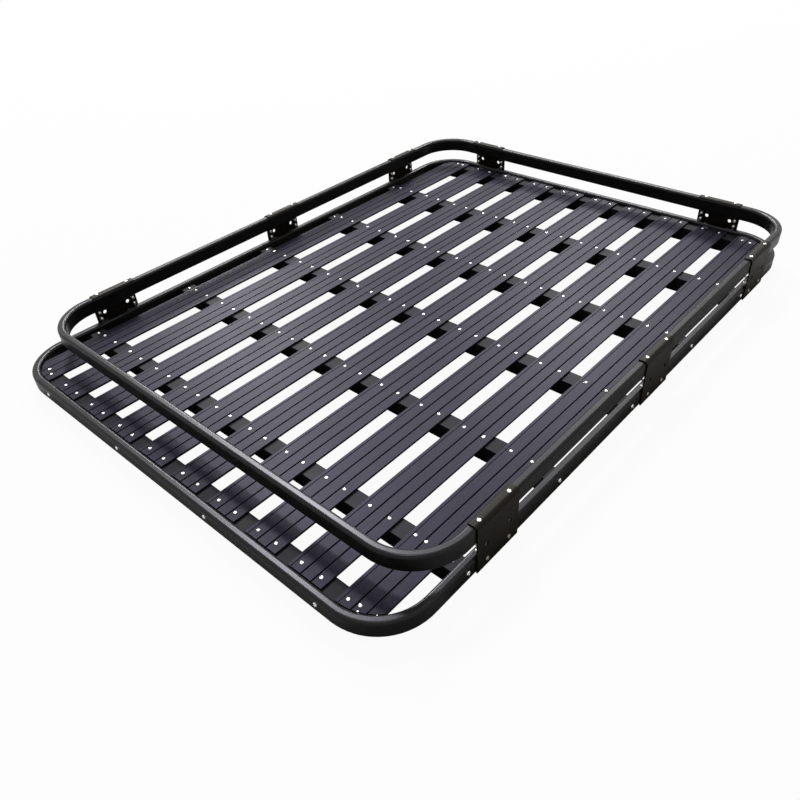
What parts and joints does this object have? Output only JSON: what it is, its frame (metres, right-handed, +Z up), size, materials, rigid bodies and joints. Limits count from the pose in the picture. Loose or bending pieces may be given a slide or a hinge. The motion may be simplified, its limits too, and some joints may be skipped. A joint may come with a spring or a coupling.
{
  "type": "roof rack",
  "caption": "Flat slatted roof rack in a bent tube frame, with a raised guard rail held on folded plate brackets.",
  "frame": {"origin": "centre of the rack on the plane of the cross bars' undersides", "axes": "+Z up, +Y towards the rear end, +X across the rack, with the deck level"},
  "size_m": [1.2684, 1.7082, 0.1302],
  "materials": {
    "rail_coat": "satin black powder coat",
    "slat_coat": "satin charcoal powder coat",
    "bar_coat": "satin charcoal powder coat",
    "bracket_coat": "satin black powder coat"
  },
  "bodies": {
    "root": {"deck_slat_1": "slat_coat", "deck_slat_2": "slat_coat", "deck_slat_3": "slat_coat", "deck_slat_4": "slat_coat", "deck_slat_5": "slat_coat", "deck_slat_6": "slat_coat", "deck_slat_7": "slat_coat", "deck_slat_8": "slat_coat", "deck_slat_9": "slat_coat", "deck_slat_10": "slat_coat", "cross_bar_1": "bar_coat", "cross_bar_2": "bar_coat", "cross_bar_3": "bar_coat", "cross_bar_4": "bar_coat", "cross_bar_5": "bar_coat", "cross_bar_6": "bar_coat", "cross_bar_7": "bar_coat", "lower_front_bow": "rail_coat", "lower_rear_bow": "rail_coat", "lower_left_rail": "rail_coat", "lower_right_rail": "rail_coat", "upper_front_bow": "rail_coat", "upper_rear_bow": "rail_coat", "upper_left_rail": "rail_coat", "upper_right_rail": "rail_coat", "bracket_left_front": "bracket_coat", "bracket_left_middle": "bracket_coat", "bracket_left_rear": "bracket_coat", "bracket_right_front": "bracket_coat", "bracket_right_middle": "bracket_coat", "bracket_right_rear": "bracket_coat", "bracket_rear_left": "bracket_coat", "bracket_rear_right": "bracket_coat"}
  },
  "joints": []
}
